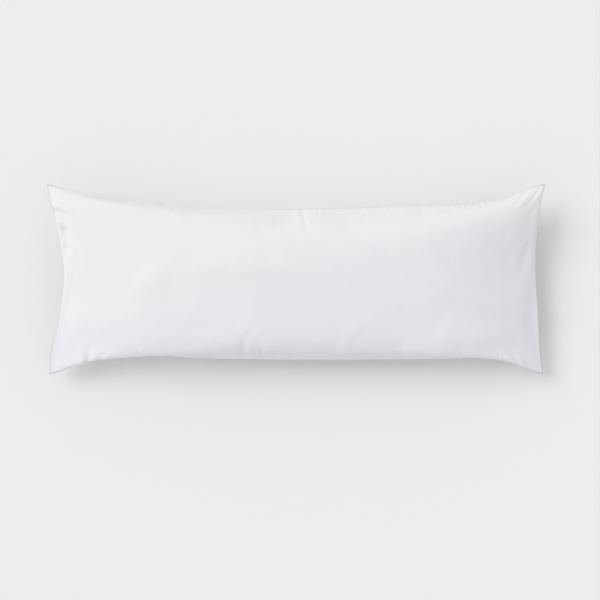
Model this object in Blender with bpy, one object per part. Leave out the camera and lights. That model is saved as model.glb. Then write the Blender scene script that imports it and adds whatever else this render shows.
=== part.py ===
# Body pillow: two cloth panels sewn edge to edge at a plain seam and filled, lying on its back.
# Metres, +Z up. +X runs along the pillow and +Y across it. The origin is on the resting
# surface, under the middle of the pillow's outline.
import math
from collections import namedtuple

import bmesh
import bpy
from mathutils import Vector

MM = 0.001

# Driving dimensions
EAR_LENGTH = 1.300       # between the corner tips, along the pillow
EAR_WIDTH = 0.498        # between the corner tips, across the pillow
CROWN_HEIGHT = 0.207     # crown over the resting surface, without the ridges of FOLDS
FAR_SEAM_HEIGHT = 0.110      # seam halfway along the +Y side
NEAR_SEAM_HEIGHT = 0.100     # seam halfway along the -Y side
LEFT_SEAM_HEIGHT = 0.104     # seam halfway along the -X end
RIGHT_SEAM_HEIGHT = 0.072    # seam halfway along the +X end
FAR_LEFT_EAR_HEIGHT = 0.098     # seam at the corner tips, far being the +Y side
FAR_RIGHT_EAR_HEIGHT = 0.120
NEAR_LEFT_EAR_HEIGHT = 0.056
NEAR_RIGHT_EAR_HEIGHT = 0.062
EAR_FULLNESS = 1.20      # a corner holds this much more filling than the two profiles give

CELLS_ALONG = 96
CELLS_ACROSS = 32
END_CROWDING = 1.35      # over 1, the cells are shorter towards the ends

# How a panel rises from its seam: (1 - |place| ** reach) ** rise, with place from -1 to 1
Profile = namedtuple("Profile", "reach rise")
CROWN_LEFT = Profile(2.5, 1.01)
CROWN_RIGHT = Profile(2.9, 1.06)
CROWN_NEAR = Profile(1.6, 0.38)
CROWN_FAR = Profile(6.9, 1.09)
BELLY_LEFT = Profile(4.8, 0.95)
BELLY_RIGHT = Profile(3.0, 0.60)
BELLY_NEAR = Profile(2.2, 0.80)
BELLY_FAR = Profile(3.5, 0.68)
BELLY_FULLNESS = 1.08    # over 1, the underside lies flat on the surface before the middle

# How far the seam is drawn in from the straight line between two corner tips, in mm.
# along: place on the pillow's length; far is the +Y side and near the -Y side.
LongSides = namedtuple("LongSides", "along far near")
LONG_SIDES = [
    LongSides(-650, 0, 0),
    LongSides(-618, 9, 8),
    LongSides(-587, 17, 20),
    LongSides(-555, 26, 29),
    LongSides(-524, 37, 39),
    LongSides(-461, 45, 52),
    LongSides(-382, 52, 52),
    LongSides(-251, 65, 43),
    LongSides(10, 66, 39),
    LongSides(272, 59, 40),
    LongSides(430, 55, 43),
    LongSides(482, 51, 50),
    LongSides(534, 42, 42),
    LongSides(574, 27, 26),
    LongSides(613, 11, 13),
    LongSides(650, 0, 0),
]

# across: place on the pillow's width; left is the -X end and right the +X end.
ShortEnds = namedtuple("ShortEnds", "across left right")
SHORT_ENDS = [
    ShortEnds(-249, 0, 0),
    ShortEnds(-185, 6, 8),
    ShortEnds(-127, 24, 11),
    ShortEnds(-64, 35, 14),
    ShortEnds(-17, 47, 18),
    ShortEnds(46, 47, 21),
    ShortEnds(109, 34, 21),
    ShortEnds(172, 19, 16),
    ShortEnds(210, 6, 11),
    ShortEnds(249, 0, 2),
]

# Creases and soft ridges of the upper face, in mm: each runs from its first point to its
# second. Its depth is at the first point and fades to nothing at the second. A negative
# depth is a ridge.
Fold = namedtuple("Fold", "name x1 y1 x2 y2 width depth")
FOLDS = [
    Fold("far side crease", 14, 186, 40, 104, 20, 4.0),
    Fold("far side crease, left", -199, 188, -184, 148, 20, 2.0),
    Fold("far side pucker, left", -308, 192, -286, 156, 22, 1.5),
    Fold("far right corner groove", 622, 226, 566, 150, 20, 3.5),
    Fold("far right corner fold", 594, 218, 536, 168, 20, 2.5),
    Fold("right end fold", 606, 86, 538, -46, 30, 2.5),
    Fold("near right corner crease", 584, -224, 536, -164, 20, 2.5),
    Fold("near pocket", 268, -176, 238, -112, 44, 2.5),
    Fold("near pocket, right", 430, -178, 424, -114, 40, 2.0),
    Fold("near fold", -140, -196, -76, -84, 24, 3.5),
    Fold("near left groove", -540, -212, -530, -158, 20, 5.0),
    Fold("near left crease", -516, -206, -466, -168, 20, 2.5),
    Fold("left end tuck", -632, 176, -590, 144, 20, 7.0),
    Fold("left end hollow", -616, 122, -598, 88, 22, 6.5),
    Fold("left end dimple", -608, 82, -598, 62, 20, 5.0),
    Fold("near arc", 120, -190, 250, -84, 34, -2.5),
    Fold("near arc, right", 372, -194, 470, -88, 32, -2.0),
    Fold("left shoulder ridge", -479, -93, -259, 117, 68, -5.5),
    Fold("crown ledge", -409, -67, 89, 50, 60, -3.5),
    Fold("right shoulder", 180, -20, 760, -90, 150, -9.0),
    Fold("near left flank", -700, -80, -300, -135, 110, -6.0),
    Fold("near right flank", 280, -150, 640, -150, 70, -6.0),
]
FOLD_SEAM_FADE = 0.012   # a fold dies out over this distance before the seam


def interpolate(rows, column, place):
    """A smooth curve through one column of a table whose first column is the place."""
    places = [row[0] * MM for row in rows]
    values = [getattr(row, column) * MM for row in rows]
    last = len(rows) - 1
    place = min(max(place, places[0]), places[last])
    slopes = []
    for i in range(last + 1):
        before, after = max(i - 1, 0), min(i + 1, last)
        slopes.append((values[after] - values[before]) / (places[after] - places[before]))
    i = next(k for k in range(last) if place <= places[k + 1])
    gap = places[i + 1] - places[i]
    t = (place - places[i]) / gap
    return ((2 * t**3 - 3 * t**2 + 1) * values[i] + (t**3 - 2 * t**2 + t) * gap * slopes[i]
            + (3 * t**2 - 2 * t**3) * values[i + 1] + (t**3 - t**2) * gap * slopes[i + 1])


def plan_point(u, v):
    """The place over the surface of a panel's point; u runs along and v across, -1 to 1."""
    along, across = u * EAR_LENGTH / 2, v * EAR_WIDTH / 2
    left = interpolate(SHORT_ENDS, "left", across)
    right = interpolate(SHORT_ENDS, "right", across)
    far = interpolate(LONG_SIDES, "far", along)
    near = interpolate(LONG_SIDES, "near", along)
    x = along + (1 - u) / 2 * left - (1 + u) / 2 * right
    y = across + (1 - v) / 2 * near - (1 + v) / 2 * far
    return x, y


def seam_height(u, v):
    """The seam's height at the panel's edge, and a smooth blend of it inside."""
    to_end, to_side = abs(u)**6, abs(v)**1.4
    end = LEFT_SEAM_HEIGHT if u < 0 else RIGHT_SEAM_HEIGHT
    if v > 0:
        ear = FAR_LEFT_EAR_HEIGHT if u < 0 else FAR_RIGHT_EAR_HEIGHT
    else:
        ear = NEAR_LEFT_EAR_HEIGHT if u < 0 else NEAR_RIGHT_EAR_HEIGHT
    at_end = end + (ear - end) * to_side
    at_side = FAR_SEAM_HEIGHT + (NEAR_SEAM_HEIGHT - FAR_SEAM_HEIGHT) * (1 - v) / 2
    return at_side + (at_end - at_side) * to_end


def filling(u, v, along, across):
    """How full the pillow is at a point: 0 at the seam, 1 in the middle."""
    rise_along = (1 - abs(u)**along.reach)**along.rise
    rise_across = (1 - abs(v)**across.reach)**across.rise
    corner = 1 + EAR_FULLNESS * abs(u)**10 * abs(v)**5
    return rise_along * rise_across * corner


def panel_height(u, v, upper):
    """Height of the upper or the lower panel over the resting surface."""
    seam = seam_height(u, v)
    if upper:
        along = CROWN_LEFT if u < 0 else CROWN_RIGHT
        across = CROWN_NEAR if v < 0 else CROWN_FAR
        return seam + (CROWN_HEIGHT - seam) * filling(u, v, along, across)
    along = BELLY_LEFT if u < 0 else BELLY_RIGHT
    across = BELLY_NEAR if v < 0 else BELLY_FAR
    return seam * (1 - min(1.0, BELLY_FULLNESS * filling(u, v, along, across)))


def fold_depth(x, y):
    """How far all the folds together press the upper face in at a place."""
    total = 0.0
    for fold in FOLDS:
        start, end = Vector((fold.x1, fold.y1)) * MM, Vector((fold.x2, fold.y2)) * MM
        run = end - start
        offset = Vector((x, y)) - start
        t = offset.dot(run) / run.length_squared
        nearest = start + run * min(max(t, 0.0), 1.0)
        across = (Vector((x, y)) - nearest).length / (fold.width * MM / 2)
        fade = 1 - min(max(t, 0.0), 1.0)
        ridge = fold.depth < 0
        strength = math.sin(math.pi * fade) if ridge else fade * (2 - fade)
        total += fold.depth * MM * strength * math.exp(-across * across)
    return total


def grid_places():
    """The cells' corners along and across, from -1 to 1, closer together at the seam."""
    along = []
    for i in range(CELLS_ALONG + 1):
        t = 2 * i / CELLS_ALONG - 1
        along.append(math.copysign(1 - (1 - abs(t))**END_CROWDING, t))
    across = [-math.cos(math.pi * j / CELLS_ACROSS) for j in range(CELLS_ACROSS + 1)]
    return along, across


def is_seam(i, j):
    return i in (0, CELLS_ALONG) or j in (0, CELLS_ACROSS)


def add_panel(mesh, along, across, upper, seam):
    """Adds one panel's points and faces; the seam's points are shared by both panels."""
    points = {}
    for i, u in enumerate(along):
        for j, v in enumerate(across):
            if (i, j) in seam:
                points[i, j] = seam[i, j]
                continue
            point = mesh.verts.new((*plan_point(u, v), panel_height(u, v, upper)))
            points[i, j] = point
            if is_seam(i, j):
                seam[i, j] = point
    for i in range(CELLS_ALONG):
        for j in range(CELLS_ACROSS):
            corners = [points[i, j], points[i + 1, j], points[i + 1, j + 1], points[i, j + 1]]
            mesh.faces.new(corners if upper else corners[::-1])
    return points


def press_folds(mesh, points):
    """Moves the upper panel's points along their normals by the folds' depth."""
    mesh.normal_update()
    moves = {}
    for (i, j), point in points.items():
        if is_seam(i, j):
            continue
        to_seam = min((point.co - points[i, k].co).length for k in (0, CELLS_ACROSS))
        to_end = min((point.co - points[k, j].co).length for k in (0, CELLS_ALONG))
        fade = min(1.0, min(to_seam, to_end) / FOLD_SEAM_FADE)
        moves[point] = point.normal * (-fold_depth(point.co.x, point.co.y) * fade)
    for point, move in moves.items():
        point.co += move


def centre_outline(mesh):
    """Puts the outline's middle over the origin and the underside on the surface."""
    xs = [point.co.x for point in mesh.verts]
    ys = [point.co.y for point in mesh.verts]
    zs = [point.co.z for point in mesh.verts]
    middle = Vector(((min(xs) + max(xs)) / 2, (min(ys) + max(ys)) / 2, min(zs)))
    for point in mesh.verts:
        point.co -= middle


def flatten_base(mesh):
    """Joins the underside's level faces into one flat face."""
    level = [face for face in mesh.faces if all(point.co.z == 0.0 for point in face.verts)]
    bmesh.ops.dissolve_faces(mesh, faces=level, use_verts=False)


def cotton_material():
    material = bpy.data.materials.new("white cotton")
    material.use_nodes = True
    shader = material.node_tree.nodes["Principled BSDF"]
    shader.inputs["Base Color"].default_value = (0.86, 0.865, 0.885, 1.0)
    shader.inputs["Roughness"].default_value = 0.9
    shader.inputs["Metallic"].default_value = 0.0
    return material


def make_pillow():
    mesh = bmesh.new()
    along, across = grid_places()
    seam = {}
    upper = add_panel(mesh, along, across, True, seam)
    add_panel(mesh, along, across, False, seam)
    press_folds(mesh, upper)
    centre_outline(mesh)
    flatten_base(mesh)
    data = bpy.data.meshes.new("pillow")
    mesh.to_mesh(data)
    mesh.free()
    data.shade_smooth()
    data.set_sharp_from_angle(angle=math.radians(60))
    data.materials.append(cotton_material())
    pillow = bpy.data.objects.new("pillow", data)
    bpy.context.scene.collection.objects.link(pillow)
    return pillow


def main():
    for old in list(bpy.data.objects):
        bpy.data.objects.remove(old, do_unlink=True)
    make_pillow()


main()
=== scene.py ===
import math

import bpy
import numpy as np
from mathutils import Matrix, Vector, kdtree, noise


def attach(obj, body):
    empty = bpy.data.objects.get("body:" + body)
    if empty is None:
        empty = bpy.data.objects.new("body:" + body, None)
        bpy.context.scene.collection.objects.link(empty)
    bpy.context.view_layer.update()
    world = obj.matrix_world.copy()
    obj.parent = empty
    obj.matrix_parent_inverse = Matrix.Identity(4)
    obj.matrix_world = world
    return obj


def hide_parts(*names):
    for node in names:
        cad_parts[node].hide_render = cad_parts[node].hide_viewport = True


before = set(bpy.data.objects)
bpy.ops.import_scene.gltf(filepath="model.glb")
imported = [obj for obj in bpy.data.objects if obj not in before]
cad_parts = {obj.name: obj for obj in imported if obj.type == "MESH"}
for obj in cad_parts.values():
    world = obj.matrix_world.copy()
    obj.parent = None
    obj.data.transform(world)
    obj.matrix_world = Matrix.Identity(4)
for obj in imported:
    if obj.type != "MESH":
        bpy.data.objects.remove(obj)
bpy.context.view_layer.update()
mm = 0.001

# body pillow: two cotton panels sewn edge to edge, filled, lying on the floor
pillow = {
    "earLength": 1.300,         # between the corner tips, along
    "earWidth": 0.498,          # between the corner tips, across
    "cutLength": 1.332,         # each panel as cut, seam to seam
    "cutWidth": 0.500,
    "leftHollow": 0.040,        # the cut's short ends curve in by this halfway
    "rightHollow": 0.012,
    "farHollow": 0.006,         # and its long sides by this
    "nearHollow": 0.007,
    "farSeamHeight": 0.110,     # seam over the floor, halfway along a long side
    "nearSeamHeight": 0.100,
    "leftSeamHeight": 0.104,    # halfway along a short end
    "rightSeamHeight": 0.072,
    "farEarHeights": (0.098, 0.120),    # at the corner tips, left and right
    "nearEarHeights": (0.056, 0.062),
    "endTurn": 6,               # the higher, the later a side's height gives way to its end's
    "earTurn": 1.4,             # and along an end, the middle's height to the corner tip's
    "longSideSamples": 1500,    # how finely the seam line and the cut edge are worked out
    "shortEndSamples": 700,
    "cutSamples": 4000,
    "cellsAlong": 212,
    "cellsAcross": 50,
    "edgeCrowding": 0.40,       # over 0, the cells are smaller near the seam
    "rimHeight": 0.8 * mm,      # the turned edge stands this proud beside the stitch line
    "rimReach": 3.5 * mm,
    "rippleDepth": 2.0 * mm,    # the seam dips and draws in where it gathers
    "fullRippleShare": 0.125,   # and does so fully where this share of the spare cloth is gathered
    "startPuff": 6 * mm,        # each panel starts this far from the seam's height
    "panelSpacing": 0.6,        # on the cloth's own plane the lower panel lies beside the upper one
    "settleFrames": 50,
    "drawFrames": 20,           # the seam reaches its outline in these
    "fillVolume": 0.12,
    "fillPressure": 3.0,
    "edgePressure": 0.1,        # share of the pressure that reaches the seam, where the filling thins
    "endReach": 0.090,          # over this much of the cloth, beside the ends and the long sides
    "sideReach": 0.035,
    "easeSteps": 20,            # how much the cloth's smaller rumples relax before the creases go in
    "layerGap": 3.0 * mm,       # the two panels are at least this far apart inside the seam
    "layerGapReach": 12 * mm,
    "layerGapCells": 8,         # how far the seam is gets worked out this many cells in
    "foldedTogether": 16 * mm,  # within about this of the seam both panels take the creases
    "upperGain": 4,             # a face counts as the upper side from about upright, over a short fade
    "upperOffset": 0.6,
    "seamSteps": 4,             # points looked at along each edge of the seam
    "softReach": 60 * mm,       # the filling's own lumps and swells start this far inside the seam
}

# how far the seam is drawn in from the line between two corner tips, in mm; far is +Y
longSideColumns = ("along", "far", "near")
longSides = [
    (-650, 0, 0),
    (-618, 9, 8),
    (-587, 17, 20),
    (-555, 26, 29),
    (-524, 37, 39),
    (-461, 45, 52),
    (-382, 52, 52),
    (-251, 65, 43),
    (10, 66, 39),
    (272, 59, 40),
    (430, 55, 43),
    (482, 51, 50),
    (534, 42, 42),
    (574, 27, 26),
    (613, 11, 13),
    (650, 0, 0),
]
shortEndColumns = ("across", "left", "right")
shortEnds = [
    (-249, 0, 0),
    (-185, 6, 8),
    (-127, 24, 11),
    (-64, 35, 14),
    (-17, 47, 18),
    (46, 47, 21),
    (109, 34, 21),
    (172, 19, 16),
    (210, 6, 11),
    (249, 0, 2),
]

# where the long seams gather up their spare cloth: place along and half width in mm, share of it
farGathers = [
    (-565, 30, 0.05),
    (-302, 12, 0.09),
    (-196, 9, 0.10),
    (-40, 16, 0.06),
    (18, 9, 0.18),
    (80, 14, 0.05),
    (150, 14, 0.05),
    (215, 12, 0.07),
    (290, 14, 0.05),
    (360, 14, 0.05),
    (430, 14, 0.05),
    (548, 20, 0.08),
    (600, 14, 0.10),
]
nearGathers = [
    (-600, 16, 0.06),
    (-536, 9, 0.15),
    (-505, 10, 0.08),
    (-140, 12, 0.18),
    (-90, 10, 0.06),
    (125, 14, 0.12),
    (372, 14, 0.12),
    (540, 12, 0.10),
    (600, 16, 0.06),
]

# creases of the upper panel: name, path on the plan from its deep end, half width, depth and the lift
# of the cloth beside it, in mm; a negative depth is a ridge
creases = [
    ("far crease", ((14, 192), (20, 164), (28, 132), (50, 104)), 5.5, 4.2, 0.8),
    ("far smudge", ((-34, 190), (-12, 168)), 8, 1.2, 0.5),
    ("far crease, left", ((-199, 192), (-194, 172), (-186, 152)), 4.5, 2.0, 0.8),
    ("far pucker, left", ((-322, 196), (-300, 162)), 5, 1.2, 0.4),
    ("far pucker, left 2", ((-290, 194), (-278, 160)), 5, 1.2, 0.4),
    ("far right ear groove", ((630, 230), (598, 190), (570, 152)), 5, 2.4, 1.2),
    ("far right ear groove 2", ((600, 228), (572, 200), (544, 174)), 5, 2.0, 1.2),
    ("far right ear nick", ((540, 212), (556, 186)), 5, 1.2, 0.5),
    ("far right lip", ((648, 242), (641, 200), (632, 160), (629, 100)), 18, -3.5, 0.0),
    ("right end fold", ((606, 86), (579, 4), (538, -46)), 12, 1.8, 0.8),
    ("right end line", ((520, -75), (448, -75)), 4, 0.6, 0.3),
    ("near right lip", ((646, -236), (640, -180), (632, -100), (628, -30)), 6, -1.5, 0.0),
    ("near left groove", ((-545, -220), (-541, -190), (-534, -158)), 9, 7.0, 1.0),
    ("near left crease", ((-516, -212), (-494, -190), (-462, -170)), 6, 2.2, 0.6),
    ("near fold", ((-131, -206), (-137, -174), (-118, -138), (-66, -82)), 9, 2.6, 0.6),
    ("near fold line", ((-90, -204), (-89, -176), (-86, -150)), 4, 1.4, 1.0),
    ("near arc", ((120, -196), (149, -127), (202, -98), (270, -86)), 15, -2.0, 0.0),
    ("near pocket", ((268, -184), (240, -116)), 22, 3.0, 0.0),
    ("near arc, right", ((370, -200), (383, -127), (430, -98), (484, -90)), 14, -1.6, 0.0),
    ("near pocket, right", ((430, -186), (424, -116)), 20, 2.6, 0.0),
    ("near right crease", ((590, -234), (569, -203), (536, -164)), 6, 3.0, 1.8),
    ("near right line", ((650, -244), (610, -218), (565, -186)), 4, 1.2, 0.7),
    ("left tuck", ((-632, 178), (-612, 172), (-596, 156), (-586, 136)), 8, 10.0, 5.0),
    ("left tuck, upper", ((-640, 190), (-606, 188), (-584, 178)), 6, 1.6, 1.0),
    ("left hollow", ((-606, 134), (-598, 110), (-590, 80)), 10, 11.0, 2.0),
    ("left dimple", ((-600, 84), (-592, 54)), 9, 8.0, 1.5),
]

creaseForm = {
    "startWidth": 0.8,      # a crease is this much of its width at its deep end
    "widening": 0.7,        # and grows by this much to its shallow end
    "startDepth": 0.7,      # it starts with this much of its depth
    "deepening": 2,         # and gains at this rate until this share of its path
    "deepestAt": 0.15,
    "ridgeStart": 0.1,      # a ridge is already this far on its way up where it starts
    "shoulderPlace": 1.9,   # the cloth beside it is highest this many half widths away
}

# broad soft forms of the filling: path, half width and height, in mm
swells = [
    (((-479, -93), (-375, -7), (-312, 64), (-259, 117)), 34, 6.5),
    (((-409, -67), (-304, 0), (-207, 28), (18, 30), (89, 56)), 30, 5.0),
    (((180, -20), (420, -50), (760, -90)), 75, 15.0),
    (((280, -150), (440, -150), (640, -150)), 36, 10.0),
    (((-700, -60), (-520, -115), (-300, -135)), 58, 11.0),
]

# uneven filling: soft lumps under the cloth
lumps = {
    "size": 150 * mm,
    "height": 1.6 * mm,
    "offset": (3.1, 7.7, 0.4),
    "falloff": 0.6,         # how fast the finer lumps die away
    "finerBy": 2.0,
    "layers": 3,
}

# fine puckers at the long seams: side, start and end of the stretch, then the least and the most of
# their spacing, length, half width and depth, in mm
puckers = [
    ("far", 60, 520, (9, 19), (9, 28), (2.8, 4.2), (0.9, 2.3)),
    ("far", -330, 40, (26, 50), (9, 20), (2.8, 4.2), (0.5, 1.2)),
    ("near", -520, 560, (20, 52), (14, 40), (3.0, 5.0), (0.5, 1.4)),
]
puckerForm = {
    "seed": 4,
    "lean": 8 * mm,         # sideways, from the seam to its inner end
    "overSeam": 2 * mm,
    "reach": 30 * mm,       # nothing further along the seam is moved
    "startWidth": 0.7,
    "widening": 0.8,
    "shoulderPlace": 1.8,
    "shoulderShare": 0.5,
}


def column(rows, names, name):
    place = names.index(name)
    return np.array([row[place] for row in rows], float)


def smoothCurve(places, values, at):
    last = len(places) - 1
    before = np.maximum(np.arange(last + 1) - 1, 0)
    after = np.minimum(np.arange(last + 1) + 1, last)
    slopes = (values[after] - values[before]) / (places[after] - places[before])
    at = np.clip(at, places[0], places[last])
    i = np.clip(np.searchsorted(places, at, side="right") - 1, 0, last - 1)
    gap = places[i + 1] - places[i]
    t = (at - places[i]) / gap
    start = (2 * t**3 - 3 * t**2 + 1) * values[i] + (t**3 - 2 * t**2 + t) * gap * slopes[i]
    end = (3 * t**2 - 2 * t**3) * values[i + 1] + (t**3 - t**2) * gap * slopes[i + 1]
    return start + end


def smoothStep(t):
    return t * t * (3 - 2 * t)


def drawnIn(side, at):
    if side in ("far", "near"):
        rows, names = longSides, longSideColumns
    else:
        rows, names = shortEnds, shortEndColumns
    return smoothCurve(column(rows, names, names[0]) * mm, column(rows, names, side) * mm, at)


def seamHeight(x, y):
    toEnd = np.abs(2 * x / pillow["earLength"]) ** pillow["endTurn"]
    toEar = np.abs(2 * y / pillow["earWidth"]) ** pillow["earTurn"]
    middle = np.where(x < 0, pillow["leftSeamHeight"], pillow["rightSeamHeight"])
    farEar = np.where(x < 0, *pillow["farEarHeights"])
    nearEar = np.where(x < 0, *pillow["nearEarHeights"])
    atEnd = middle + (np.where(y > 0, farEar, nearEar) - middle) * toEar
    nearShare = np.clip(0.5 - y / pillow["earWidth"], 0, 1)
    atSide = pillow["farSeamHeight"] + (pillow["nearSeamHeight"] - pillow["farSeamHeight"]) * nearShare
    return atSide + (atEnd - atSide) * toEnd


def seamTrack(side):
    if side in ("far", "near"):
        at = np.linspace(-pillow["earLength"] / 2, pillow["earLength"] / 2, pillow["longSideSamples"])
        edge = pillow["earWidth"] / 2 - drawnIn(side, at)
        x, y = at, edge if side == "far" else -edge
        height = seamHeight(x, np.where(np.abs(y) > 0, np.sign(y), 1) * pillow["earWidth"] / 2)
    else:
        at = np.linspace(-pillow["earWidth"] / 2, pillow["earWidth"] / 2, pillow["shortEndSamples"])
        edge = pillow["earLength"] / 2 - drawnIn(side, at)
        x, y = edge if side == "right" else -edge, at
        height = seamHeight(np.sign(x) * pillow["earLength"] / 2, y)
    return np.stack([x, y, height], axis=1)


def seamPoints(side, cut):
    # where each place of the cut edge comes to lie, with the spare cloth taken up at the gathers
    track = seamTrack(side)
    gathers = {"far": farGathers, "near": nearGathers}.get(side, [])
    steps = np.linalg.norm(np.diff(track, axis=0), axis=1)
    run = np.concatenate([[0.0], np.cumsum(steps)])
    cutSize = pillow["cutLength"] if side in ("far", "near") else pillow["cutWidth"]
    fine = np.linspace(-cutSize / 2, cutSize / 2, pillow["cutSamples"])
    spare = cutSize - run[-1]
    shares = 0.0
    gathered = np.zeros_like(fine)
    for along, reach, share in gathers:
        place = along * mm * cutSize / pillow["earLength"]
        bell = np.exp(-((fine - place) / (reach * mm)) ** 2)
        gathered += share * bell / (bell.sum() * (fine[1] - fine[0]))
        shares += share
    density = gathered + (1 - shares) / cutSize
    speed = 1 - spare * density
    arc = np.concatenate([[0.0], np.cumsum((speed[1:] + speed[:-1]) / 2)])
    arc *= run[-1] / arc[-1]
    at = np.interp(cut, fine, arc)
    found = np.stack([np.interp(at, run, track[:, k]) for k in range(3)], axis=1)
    for along, reach, share in gathers:
        bell = np.exp(-((found[:, 0] - along * mm) / (reach * mm)) ** 2)
        bell = bell * min(1.0, share / pillow["fullRippleShare"])
        found[:, 2] -= pillow["rippleDepth"] * bell
        found[:, 1] -= np.sign(found[:, 1]) * pillow["rippleDepth"] / 2 * bell
    return found


def crowded(count):
    t = np.linspace(-1, 1, count + 1)
    crowding = pillow["edgeCrowding"]
    return (1 - crowding) * t + crowding * np.sin(math.pi * t / 2)


def cutPattern():
    along, across = pillow["cellsAlong"], pillow["cellsAcross"]
    u, v = np.meshgrid(crowded(along), crowded(across))
    seam = np.zeros(u.shape, bool)
    seam[0, :] = seam[-1, :] = seam[:, 0] = seam[:, -1] = True
    upper = np.arange(u.size).reshape(u.shape)
    lower = upper.copy()
    lower[~seam] = u.size + np.arange((~seam).sum())
    endHollow = np.where(u < 0, pillow["leftHollow"], pillow["rightHollow"]) * (1 - v**2) ** 2
    sideHollow = np.where(v > 0, pillow["farHollow"], pillow["nearHollow"]) * (1 - u**6)
    halfLength = pillow["cutLength"] / 2 - endHollow
    halfWidth = pillow["cutWidth"] / 2 - sideHollow
    flat = np.stack([u * halfLength, v * halfWidth], axis=-1)
    return u, v, seam, upper, lower, flat


def quads(points, flip):
    a, b = points[:-1, :-1].ravel(), points[:-1, 1:].ravel()
    c, d = points[1:, 1:].ravel(), points[1:, :-1].ravel()
    return np.stack([a, d, c, b] if flip else [a, b, c, d], axis=1)


def setPoints(target, points):
    target.foreach_set("co", np.ascontiguousarray(points, dtype=np.float32).ravel())


def getPoints(data):
    found = np.zeros(len(data.vertices) * 3, np.float32)
    data.vertices.foreach_get("co", found)
    return found.reshape(-1, 3).astype(float)


def makeBag():
    u, v, seam, upper, lower, flat = cutPattern()
    puff = pillow["startPuff"] * (1 - np.abs(u) ** 8) * (1 - np.abs(v) ** 4)
    count = u.size + (~seam).sum()
    start = np.zeros((count, 3))
    start[upper.ravel(), :2] = flat.reshape(-1, 2)
    start[lower.ravel(), :2] = flat.reshape(-1, 2)
    start[lower.ravel(), 2] = pillow["farSeamHeight"] - puff.ravel()
    start[upper.ravel(), 2] = pillow["farSeamHeight"] + puff.ravel()
    goal = start.copy()
    cutAlong, cutAcross = u[0] * pillow["cutLength"] / 2, v[:, 0] * pillow["cutWidth"] / 2
    toEnd = (1 - np.abs(u)) * pillow["cutLength"] / 2 / pillow["endReach"]
    toSide = (1 - np.abs(v)) * pillow["cutWidth"] / 2 / pillow["sideReach"]
    inside = np.clip(np.minimum(toEnd, toSide), 0, 1)
    pressed = np.zeros(count)
    pressed[upper.ravel()] = pressed[lower.ravel()] = smoothStep(inside).ravel()
    goal[upper[0, :]] = seamPoints("near", cutAlong)
    goal[upper[-1, :]] = seamPoints("far", cutAlong)
    goal[upper[:, 0]] = seamPoints("left", cutAcross)
    goal[upper[:, -1]] = seamPoints("right", cutAcross)
    faces = np.concatenate([quads(upper, False), quads(lower, True)])
    data = bpy.data.meshes.new("pillow_cover")
    data.from_pydata(start.tolist(), [], faces.tolist())
    cover = bpy.data.objects.new("pillow_cover", data)
    bpy.context.scene.collection.objects.link(cover)
    # cloth places for the weave: metres on the cut panel, the lower panel beside the upper one
    corners = np.zeros(len(data.loops), int)
    data.loops.foreach_get("vertex_index", corners)
    onCut = np.zeros((count, 2))
    onCut[upper.ravel()] = flat.reshape(-1, 2)
    onCut[lower.ravel()] = flat.reshape(-1, 2)
    places = onCut[corners]
    places[len(corners) // 2:, 1] += pillow["panelSpacing"]
    layer = data.uv_layers.new(name="cloth")
    layer.data.foreach_set("uv", places.astype(np.float32).ravel())
    return cover, start, goal, upper, lower, seam, pressed


# how the cotton behaves while the bag fills, in the cloth modifier's own names and units
clothSettings = {
    "quality": 6,
    "mass": 0.002,
    "tension_stiffness": 80,
    "compression_stiffness": 20,
    "shear_stiffness": 10,
    "bending_stiffness": 2.0,
    "tension_damping": 5,
    "compression_damping": 5,
    "shear_damping": 5,
    "bending_damping": 0.5,
    "air_damping": 2,
}


def fillBag(cover, goal, seamVertices, pressed):
    scene = bpy.context.scene
    cover.shape_key_add(name="cut")
    outline = cover.shape_key_add(name="outline")
    setPoints(outline.data, goal)
    outline.value = 0
    outline.keyframe_insert("value", frame=1)
    outline.value = 1
    outline.keyframe_insert("value", frame=pillow["drawFrames"])
    held = cover.vertex_groups.new(name="seam")
    held.add([int(i) for i in seamVertices], 1.0, "REPLACE")
    bpy.ops.mesh.primitive_plane_add(size=4)
    ground = bpy.context.object
    ground.modifiers.new("ground", "COLLISION")
    ground.collision.thickness_outer = 0.0005
    ground.collision.cloth_friction = 5
    modifier = cover.modifiers.new("fill", "CLOTH")
    cloth = modifier.settings
    for name, value in clothSettings.items():
        setattr(cloth, name, value)
    shares = pillow["edgePressure"] + (1 - pillow["edgePressure"]) * pressed
    filled = cover.vertex_groups.new(name="filled")
    for i, value in enumerate(shares.tolist()):
        filled.add([i], value, "REPLACE")
    cloth.vertex_group_pressure = "filled"
    cloth.use_pressure = True
    cloth.use_pressure_volume = True
    cloth.target_volume = pillow["fillVolume"]
    cloth.pressure_factor = pillow["fillPressure"]
    cloth.effector_weights.gravity = 0
    cloth.vertex_group_mass = "seam"
    cloth.pin_stiffness = 1
    modifier.collision_settings.use_collision = True
    modifier.collision_settings.distance_min = 0.001
    modifier.collision_settings.collision_quality = 2
    modifier.collision_settings.use_self_collision = False
    frames = pillow["settleFrames"]
    scene.frame_start, scene.frame_end = 1, frames
    modifier.point_cache.frame_start, modifier.point_cache.frame_end = 1, frames
    for number in range(1, frames + 1):
        scene.frame_set(number)
    graph = bpy.context.evaluated_depsgraph_get()
    shaped = bpy.data.meshes.new_from_object(cover.evaluated_get(graph), depsgraph=graph)
    cover.modifiers.clear()
    cover.animation_data_clear()
    cover.shape_key_clear()
    if cover.data.animation_data:
        cover.data.animation_data_clear()
    cover.data = shaped
    cover.vertex_groups.clear()
    bpy.data.objects.remove(ground, do_unlink=True)
    scene.frame_set(1)


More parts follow.
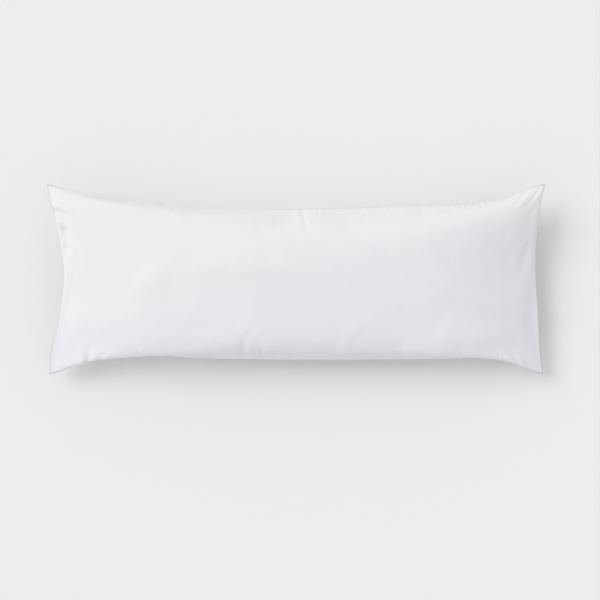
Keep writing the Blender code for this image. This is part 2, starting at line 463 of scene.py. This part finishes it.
def easeRumples(points, upper, lower):
    for panel in (upper, lower):
        inner = panel[1:-1, 1:-1]
        # each step goes halfway to the mean of the four neighbours
        for _ in range(pillow["easeSteps"]):
            around = points[panel[:-2, 1:-1]] + points[panel[2:, 1:-1]]
            around = around + points[panel[1:-1, :-2]] + points[panel[1:-1, 2:]]
            points[inner] += 0.5 * (around / 4 - points[inner])
    return points


def partLayers(points, upper, lower, seam):
    # the panels are pushed apart where they come too close, and less so right at the seam
    shape = upper.shape
    edge = np.zeros(shape)
    seamPlaces = points[upper[seam]]
    for j in range(shape[0]):
        for i in range(shape[1]):
            cells = min(i, j, shape[1] - 1 - i, shape[0] - 1 - j)
            if not seam[j, i] and cells < pillow["layerGapCells"]:
                middle = (points[upper[j, i]] + points[lower[j, i]]) / 2
                edge[j, i] = np.linalg.norm((seamPlaces - middle)[:, :2], axis=1).min()
            else:
                edge[j, i] = 1.0 if not seam[j, i] else 0.0
    least = pillow["layerGap"] * np.minimum(1, edge / pillow["layerGapReach"])
    top, bottom = upper[~seam], lower[~seam]
    lack = least[~seam] - (points[top, 2] - points[bottom, 2])
    push = np.maximum(0, lack) / 2
    points[top, 2] += push
    points[bottom, 2] -= push
    points[:, 2] = np.maximum(points[:, 2], 0)
    return points


def subdivide(cover, seamPairs, corners):
    data = cover.data
    crease = data.attributes.new("crease_edge", "FLOAT", "EDGE")
    ends = np.zeros(len(data.edges) * 2, int)
    data.edges.foreach_get("vertices", ends)
    ends = ends.reshape(-1, 2)
    wanted = {tuple(sorted(pair)) for pair in seamPairs}
    crease.data.foreach_set("value", [float(tuple(sorted(pair)) in wanted) for pair in ends.tolist()])
    tips = data.attributes.new("crease_vert", "FLOAT", "POINT")
    values = np.zeros(len(data.vertices), np.float32)
    values[corners] = 1
    tips.data.foreach_set("value", values)
    modifier = cover.modifiers.new("smooth", "SUBSURF")
    modifier.levels = modifier.render_levels = 1
    modifier.uv_smooth = "NONE"
    graph = bpy.context.evaluated_depsgraph_get()
    finer = bpy.data.meshes.new_from_object(cover.evaluated_get(graph), depsgraph=graph)
    cover.modifiers.clear()
    cover.data = finer


def alongPath(points, path):
    # distance from the smooth path and share of its length, for each point on the plan
    path = np.array(path, float)
    if len(path) > 2:
        # four fine steps to each point of the path
        knots = np.concatenate([[0.0], np.cumsum(np.linalg.norm(np.diff(path, axis=0), axis=1))])
        fine = np.linspace(0, knots[-1], 4 * len(path))
        path = np.stack([smoothCurve(knots, path[:, k], fine) for k in (0, 1)], axis=1)
    steps = np.linalg.norm(np.diff(path, axis=0), axis=1)
    run = np.concatenate([[0.0], np.cumsum(steps)])
    nearest = np.full(len(points), np.inf)
    share = np.zeros(len(points))
    for i in range(len(steps)):
        way = (path[i + 1] - path[i]) / steps[i]
        along = np.clip((points - path[i]) @ way, 0, steps[i])
        away = np.linalg.norm(points - path[i] - along[:, None] * way, axis=1)
        closer = away < nearest
        nearest = np.where(closer, away, nearest)
        share = np.where(closer, (run[i] + along) / run[-1], share)
    return nearest, share


def grooveProfile(away, spread, shoulderPlace):
    trough = np.exp(-((away / spread) ** 2))
    shoulder = np.exp(-(((away - shoulderPlace * spread) / spread) ** 2))
    return trough, shoulder


def creaseHeight(places):
    form = creaseForm
    height = np.zeros(len(places))
    for _, path, width, depth, lift in creases:
        away, share = alongPath(places, np.array(path) * mm)
        spread = width * mm * (form["startWidth"] + form["widening"] * share)
        if depth > 0:
            fade = form["startDepth"] + form["deepening"] * np.minimum(share, form["deepestAt"])
            fade = fade * (1 - smoothStep(share))
        else:
            fade = np.sin(math.pi * np.clip(share * (1 - form["ridgeStart"]) + form["ridgeStart"], 0, 1))
        trough, shoulder = grooveProfile(away, spread, form["shoulderPlace"])
        height += fade * (lift * shoulder - depth * trough) * mm
    return height


def swellHeight(places):
    height = np.zeros(len(places))
    for path, width, rise in swells:
        away, share = alongPath(places, np.array(path) * mm)
        height += rise * mm * np.sin(math.pi * share) ** 2 * np.exp(-((away / (width * mm)) ** 2))
    return height


def lumpHeight(points):
    size, offset = lumps["size"], Vector(lumps["offset"])
    kind = (lumps["falloff"], lumps["finerBy"], lumps["layers"])
    found = [noise.fractal(Vector(p) / size + offset, *kind) for p in points.tolist()]
    return np.array(found) * lumps["height"]


def puckerHeight(places):
    form = puckerForm
    random = np.random.default_rng(form["seed"])
    height = np.zeros(len(places))
    for side, start, end, spacing, lengths, widths, depths in puckers:
        at = start
        while at < end:
            length, width = random.uniform(*lengths) * mm, random.uniform(*widths) * mm
            depth, lean = random.uniform(*depths) * mm, random.uniform(-1, 1) * form["lean"]
            edge = pillow["earWidth"] / 2 - drawnIn(side, np.array([at * mm]))[0]
            way = 1 if side == "far" else -1
            ends = [(at * mm, way * (edge + form["overSeam"])), (at * mm + lean, way * (edge - length))]
            close = np.abs(places[:, 0] - at * mm) < form["reach"]
            away, share = alongPath(places[close], ends)
            spread = width * (form["startWidth"] + form["widening"] * share)
            trough, shoulder = grooveProfile(away, spread, form["shoulderPlace"])
            height[close] += (1 - share) * depth * (form["shoulderShare"] * shoulder - trough)
            at += random.uniform(*spacing)
    return height


def pressCreases(cover, seamLine):
    data = cover.data
    points = getPoints(data)
    normals = np.zeros(len(points) * 3, np.float32)
    data.vertex_normals.foreach_get("vector", normals)
    normals = normals.reshape(-1, 3)
    steps = pillow["seamSteps"]
    tree = kdtree.KDTree(len(seamLine) * steps)
    for i in range(len(seamLine) * steps):
        a, b = seamLine[i // steps], seamLine[(i // steps + 1) % len(seamLine)]
        tree.insert(a + (b - a) * (i % steps) / steps, i)
    tree.balance()
    toSeam = np.array([tree.find(p)[2] for p in points.tolist()])
    # beside the seam the two panels fold together; further in only the upper one is pressed
    together = np.exp(-((toSeam / pillow["foldedTogether"]) ** 2))[:, None]
    upperSide = np.clip(normals[:, 2] * pillow["upperGain"] + pillow["upperOffset"], 0, 1)[:, None]
    height = (creaseHeight(points[:, :2]) + puckerHeight(points[:, :2]))[:, None]
    move = (1 - together) * upperSide * height * normals + together * height * np.array([0, 0, 1])
    rim = toSeam / pillow["rimReach"]
    inside = smoothStep(np.clip(toSeam / pillow["softReach"], 0, 1))
    soft = (lumpHeight(points) + swellHeight(points[:, :2]) * upperSide[:, 0]) * inside
    move += normals * (soft + pillow["rimHeight"] * rim * np.exp(1 - rim))[:, None]
    points += move
    points[:, 2] = np.maximum(points[:, 2], 0)
    setPoints(data.vertices, points)
    data.update()
    # how far each point is from the seam, for the shade that its turned edge holds
    layer = data.attributes.new("seamDistance", "FLOAT", "POINT")
    layer.data.foreach_set("value", toSeam.astype(np.float32))


def loopOf(upper):
    return np.concatenate([upper[0, :-1], upper[:-1, -1], upper[-1, :0:-1], upper[:0:-1, 0]])


def makeCover():
    cover, start, goal, upper, lower, seam, pressed = makeBag()
    ring = loopOf(upper)
    fillBag(cover, goal, ring, pressed)
    points = easeRumples(getPoints(cover.data), upper, lower)
    points = partLayers(points, upper, lower, seam)
    setPoints(cover.data.vertices, points)
    cover.data.update()
    corners = [int(upper[0, 0]), int(upper[0, -1]), int(upper[-1, 0]), int(upper[-1, -1])]
    subdivide(cover, zip(ring.tolist(), np.roll(ring, -1).tolist()), corners)
    pressCreases(cover, points[ring])
    cover.data.shade_smooth()
    print("cover:", len(cover.data.vertices), "points, height", round(points[:, 2].max(), 4))
    return cover, getPoints(cover.data)[ring]


def colour(hexCode):
    parts = [int(hexCode[i:i + 2], 16) / 255 for i in (0, 2, 4)]
    return [p / 12.92 if p <= 0.04045 else ((p + 0.055) / 1.055) ** 2.4 for p in parts] + [1.0]


def addNode(tree, kind, settings=None, links=None):
    node = tree.nodes.new(kind)
    for name, value in (settings or {}).items():
        if name in node.inputs:
            node.inputs[name].default_value = value
        else:
            setattr(node, name, value)
    for name, source in (links or {}).items():
        tree.links.new(source, node.inputs[name])
    return node


# woven cotton percale: matt and close, a cool off-white with a cooler tint painted on as shade towards
# its shaded near and right sides, slightly uneven yarns, small soft rumples, and a thin painted shade
# where the turned edges meet at the seam
cottonLook = {
    "litSideTint": "E6E8E7",
    "shadedSideTint": "E4E5E9",
    "tintSize": 110 * mm,
    "shadeTintLean": (0.24, -1.0, 0.0),      # painted shade: the cooler tint is painted towards this side, the shaded near and right side
    "tintEdge": (-0.14, 0.04),          # and comes in between these distances, in metres
    "tintDrift": 0.16,
    "roughness": 0.92,
    "sheen": 0.12,
    "sheenRoughness": 0.5,
    "gloss": 0.25,
    "threadPitch": 1.1 * mm,    # real yarns lie 0.3 mm apart: drawn coarser, so that the weave shows
    "threadDepth": 0.10 * mm,
    "slubLength": 24 * mm,      # a thicker stretch of yarn
    "slubWidth": 1.4 * mm,
    "slubDepth": 0.10 * mm,
    "rumpleSize": 30 * mm,
    "rumpleDepth": 0.9 * mm,
    "seamShade": 0.62,          # brightness left right at the seam
    "seamReach": 3.2 * mm,
}


def cottonMaterial():
    look = cottonLook
    material = bpy.data.materials.new("woven cotton percale")
    material.use_nodes = True
    tree = material.node_tree
    shader = tree.nodes["Principled BSDF"]
    shader.inputs["Roughness"].default_value = look["roughness"]
    shader.inputs["Sheen Weight"].default_value = look["sheen"]
    shader.inputs["Sheen Roughness"].default_value = look["sheenRoughness"]
    shader.inputs["Specular IOR Level"].default_value = look["gloss"]
    place = addNode(tree, "ShaderNodeTexCoord").outputs["Object"]
    cloth = addNode(tree, "ShaderNodeUVMap", {"uv_map": "cloth"}).outputs["UV"]

    # weave: over and under, from two sets of threads on the cloth's own metres
    turns = addNode(tree, "ShaderNodeVectorMath",
                    {"operation": "SCALE", "Scale": math.pi / look["threadPitch"]}, {"Vector": cloth})
    across = addNode(tree, "ShaderNodeSeparateXYZ", None, {"Vector": turns.outputs["Vector"]})
    warp = addNode(tree, "ShaderNodeMath", {"operation": "SINE"}, {0: across.outputs["X"]})
    weft = addNode(tree, "ShaderNodeMath", {"operation": "SINE"}, {0: across.outputs["Y"]})
    weave = addNode(tree, "ShaderNodeMath", {"operation": "MULTIPLY"},
                    {0: warp.outputs[0], 1: weft.outputs[0]})

    # slubs run along the yarns
    stretched = addNode(tree, "ShaderNodeMapping",
                        {"Scale": (1 / look["slubLength"], 1 / look["slubWidth"], 1)}, {"Vector": cloth})
    slubs = addNode(tree, "ShaderNodeTexNoise", {"Scale": 1.0, "Detail": 2.0},
                    {"Vector": stretched.outputs["Vector"]})
    rumples = addNode(tree, "ShaderNodeTexNoise",
                      {"Scale": 1 / look["rumpleSize"], "Detail": 3.0, "Roughness": 0.55},
                      {"Vector": place})

    soft = addNode(tree, "ShaderNodeBump", {"Strength": 1.0, "Distance": look["rumpleDepth"]},
                   {"Height": rumples.outputs["Fac"]})
    uneven = addNode(tree, "ShaderNodeBump", {"Strength": 1.0, "Distance": look["slubDepth"]},
                     {"Height": slubs.outputs["Fac"], "Normal": soft.outputs["Normal"]})
    woven = addNode(tree, "ShaderNodeBump", {"Strength": 1.0, "Distance": look["threadDepth"] / 2},
                    {"Height": weave.outputs[0], "Normal": uneven.outputs["Normal"]})
    tree.links.new(woven.outputs["Normal"], shader.inputs["Normal"])

    # painted shade: the lit side's white on one side, a cooler shade tint painted on the shaded side,
    # with an uneven border
    tints = addNode(tree, "ShaderNodeTexNoise", {"Scale": 1 / look["tintSize"], "Detail": 2.0},
                    {"Vector": place})
    lean = addNode(tree, "ShaderNodeVectorMath", {"operation": "DOT_PRODUCT"}, {0: place})
    lean.inputs[1].default_value = look["shadeTintLean"]
    drift = addNode(tree, "ShaderNodeMath", {"operation": "MULTIPLY_ADD"},
                    {0: tints.outputs["Fac"], 2: lean.outputs["Value"]})
    drift.inputs[1].default_value = look["tintDrift"]
    edge = [end + look["tintDrift"] / 2 for end in look["tintEdge"]]
    share = addNode(tree, "ShaderNodeMapRange",
                    {"interpolation_type": "SMOOTHSTEP", "From Min": edge[0], "From Max": edge[1]},
                    {"Value": drift.outputs[0]})
    cotton = addNode(tree, "ShaderNodeMix", {"data_type": "RGBA"}, {0: share.outputs["Result"]})
    # painted shade: the first colour is the lit side's white, the second the cooler tint painted on the
    # shaded side
    cotton.inputs[6].default_value = colour(look["litSideTint"])
    cotton.inputs[7].default_value = colour(look["shadedSideTint"])

    # the shade at the seam
    seamAway = addNode(tree, "ShaderNodeAttribute", {"attribute_name": "seamDistance"})
    reach = {"From Min": 0.0, "From Max": look["seamReach"], "To Min": look["seamShade"], "To Max": 1.0}
    shade = addNode(tree, "ShaderNodeMapRange", reach, {"Value": seamAway.outputs["Fac"]})
    shaded = addNode(tree, "ShaderNodeVectorMath", {"operation": "SCALE"},
                     {"Vector": cotton.outputs[2], "Scale": shade.outputs["Result"]})
    tree.links.new(shaded.outputs["Vector"], shader.inputs["Base Color"])
    return material


# spun polyester sewing thread: tight and smooth, with a slight gloss
threadLook = {
    "darkTint": "D9DADD",
    "lightTint": "EFEFF1",
    "twistSize": 0.4 * mm,
    "roughness": 0.55,
    "gloss": 0.4,
}


def threadMaterial():
    look = threadLook
    material = bpy.data.materials.new("spun polyester thread")
    material.use_nodes = True
    tree = material.node_tree
    shader = tree.nodes["Principled BSDF"]
    shader.inputs["Roughness"].default_value = look["roughness"]
    shader.inputs["Specular IOR Level"].default_value = look["gloss"]
    place = addNode(tree, "ShaderNodeTexCoord").outputs["Object"]
    twist = addNode(tree, "ShaderNodeTexNoise", {"Scale": 1 / look["twistSize"], "Detail": 1.0},
                    {"Vector": place})
    thread = addNode(tree, "ShaderNodeMix", {"data_type": "RGBA"}, {0: twist.outputs["Fac"]})
    thread.inputs[6].default_value = colour(look["darkTint"])
    thread.inputs[7].default_value = colour(look["lightTint"])
    tree.links.new(thread.outputs[2], shader.inputs["Base Color"])
    return material


# seam stitches, pulled into the line where the two panels meet
stitches = {
    "Pitch": 3.4 * mm,
    "Length": 2.6 * mm,
    "Thread Radius": 0.35 * mm,
    "Tilt": 0.12,               # radians, either way
    "Seed": 7,
}


def stitchTree(material):
    tree = bpy.data.node_groups.new("stitches along a seam", "GeometryNodeTree")
    tree.interface.new_socket("Geometry", in_out="INPUT", socket_type="NodeSocketGeometry")
    for name, value in stitches.items():
        kind = "NodeSocketInt" if name == "Seed" else "NodeSocketFloat"
        tree.interface.new_socket(name, in_out="INPUT", socket_type=kind).default_value = value
    tree.interface.new_socket("Geometry", in_out="OUTPUT", socket_type="NodeSocketGeometry")
    given = addNode(tree, "NodeGroupInput").outputs
    line = addNode(tree, "GeometryNodeMeshToCurve", None, {"Mesh": given["Geometry"]})
    spaced = addNode(tree, "GeometryNodeResampleCurve", {"mode": "LENGTH"},
                     {"Curve": line.outputs["Curve"], "Length": given["Pitch"]})
    way = addNode(tree, "GeometryNodeInputTangent")
    along = addNode(tree, "FunctionNodeAlignRotationToVector", {"axis": "X"},
                    {"Vector": way.outputs["Tangent"]})
    least = addNode(tree, "ShaderNodeMath", {"operation": "MULTIPLY"}, {0: given["Tilt"]})
    least.inputs[1].default_value = -1
    angle = addNode(tree, "FunctionNodeRandomValue", {"data_type": "FLOAT"},
                    {2: least.outputs[0], 3: given["Tilt"], "Seed": given["Seed"]})
    tilt = addNode(tree, "FunctionNodeAxisAngleToRotation", None, {"Angle": angle.outputs[1]})
    turned = addNode(tree, "FunctionNodeRotateRotation", {"rotation_space": "LOCAL"},
                     {"Rotation": along.outputs["Rotation"], "Rotate By": tilt.outputs["Rotation"]})
    bead = addNode(tree, "GeometryNodeMeshUVSphere", {"Segments": 6, "Rings": 5, "Radius": 1.0})
    half = addNode(tree, "ShaderNodeMath", {"operation": "DIVIDE"}, {0: given["Length"]})
    half.inputs[1].default_value = 2
    size = addNode(tree, "ShaderNodeCombineXYZ", None,
                   {"X": half.outputs[0], "Y": given["Thread Radius"], "Z": given["Thread Radius"]})
    placed = addNode(tree, "GeometryNodeInstanceOnPoints", None,
                     {"Points": spaced.outputs["Curve"], "Instance": bead.outputs["Mesh"],
                      "Rotation": turned.outputs["Rotation"], "Scale": size.outputs["Vector"]})
    whole = addNode(tree, "GeometryNodeRealizeInstances", None, {"Geometry": placed.outputs["Instances"]})
    finished = addNode(tree, "GeometryNodeSetMaterial", {"Material": material},
                       {"Geometry": whole.outputs["Geometry"]})
    addNode(tree, "NodeGroupOutput", None, {"Geometry": finished.outputs["Geometry"]})
    return tree


def makeStitches(seamLine):
    count = len(seamLine)
    data = bpy.data.meshes.new("pillow_stitches")
    data.from_pydata(seamLine.tolist(), [(i, (i + 1) % count) for i in range(count)], [])
    row = bpy.data.objects.new("pillow_stitches", data)
    bpy.context.scene.collection.objects.link(row)
    tree = stitchTree(threadMaterial())
    modifier = row.modifiers.new("stitches", "NODES")
    modifier.node_group = tree
    for item in tree.interface.items_tree:
        if item.in_out == "INPUT" and item.name in stitches:
            modifier[item.identifier] = stitches[item.name]
    graph = bpy.context.evaluated_depsgraph_get()
    sewn = bpy.data.meshes.new_from_object(row.evaluated_get(graph), depsgraph=graph)
    row.modifiers.clear()
    row.data = sewn
    row.data.shade_smooth()
    print("stitches:", len(sewn.polygons), "faces")
    return row


# stage and light
studio = {
    "floorColour": "EAEAEA",
    "floorSize": 20.0,
    "keyDirection": (0.74, -0.42, -0.9),
    "keyStrength": 1.045,
    "keyAngle": 32.0,                  # degrees; a wide source with soft shadows
    "fillStrength": 0.785,
    "fillLean": (-0.08, 0.03, 0.0),    # how much brighter the fill is towards this side
}

# the camera stands straight over the pillow
photoView = {
    "metresPerPixel": 0.00262,      # at the height of the plane below
    "middle": (0.0105, -0.0537),    # under the picture's centre
    "lens": 100.0,
    "sensor": 36.0,
    "planeHeight": 0.086,
    "pixels": 600,
}


def makeStage():
    half = studio["floorSize"] / 2
    corners = [(-half, -half, 0), (half, -half, 0), (half, half, 0), (-half, half, 0)]
    data = bpy.data.meshes.new("floor")
    data.from_pydata(corners, [], [(0, 1, 2, 3)])
    floor = bpy.data.objects.new("floor", data)
    bpy.context.scene.collection.objects.link(floor)
    material = bpy.data.materials.new("matt studio floor")
    material.use_nodes = True
    shader = material.node_tree.nodes["Principled BSDF"]
    shader.inputs["Base Color"].default_value = colour(studio["floorColour"])
    shader.inputs["Roughness"].default_value = 1.0
    shader.inputs["Specular IOR Level"].default_value = 0.0
    data.materials.append(material)


def makeLight():
    scene = bpy.context.scene
    world = bpy.data.worlds.new("soft studio")
    scene.world = world
    world.use_nodes = True
    tree = world.node_tree
    # the sky is brighter towards a large soft source; directions are the world's own
    direction = addNode(tree, "ShaderNodeTexCoord").outputs["Generated"]
    lean = addNode(tree, "ShaderNodeVectorMath", {"operation": "DOT_PRODUCT"}, {0: direction})
    lean.inputs[1].default_value = studio["fillLean"]
    level = addNode(tree, "ShaderNodeMath", {"operation": "ADD"}, {0: lean.outputs["Value"]})
    level.inputs[1].default_value = 1
    strength = addNode(tree, "ShaderNodeMath", {"operation": "MULTIPLY"}, {0: level.outputs[0]})
    strength.inputs[1].default_value = studio["fillStrength"]
    tree.links.new(strength.outputs[0], tree.nodes["Background"].inputs["Strength"])
    tree.nodes["Background"].inputs["Color"].default_value = (1, 1, 1, 1)
    sun = bpy.data.lights.new("key", "SUN")
    sun.energy = studio["keyStrength"]
    sun.angle = math.radians(studio["keyAngle"])
    key = bpy.data.objects.new("key", sun)
    key.rotation_mode = "QUATERNION"
    key.rotation_quaternion = Vector(studio["keyDirection"]).to_track_quat("-Z", "Y")
    scene.collection.objects.link(key)
    scene.view_settings.view_transform = "Standard"


def makeCamera():
    lens = bpy.data.cameras.new("camera")
    lens.lens = photoView["lens"]
    lens.sensor_width = photoView["sensor"]
    lens.clip_end = 100
    camera = bpy.data.objects.new("camera", lens)
    seen = photoView["metresPerPixel"] * photoView["pixels"]
    distance = seen * photoView["lens"] / photoView["sensor"]
    camera.location = (*photoView["middle"], photoView["planeHeight"] + distance)
    bpy.context.scene.collection.objects.link(camera)
    bpy.context.scene.camera = camera


def main():
    makeCamera()
    makeStage()
    makeLight()
    print("stage ready")
    cover, seamLine = makeCover()
    cover.data.materials.clear()
    cover.data.materials.append(cottonMaterial())
    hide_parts("pillow")
    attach(cover, "root")
    sewn = makeStitches(seamLine)
    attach(sewn, "root")
    print("pillow ready")


main()
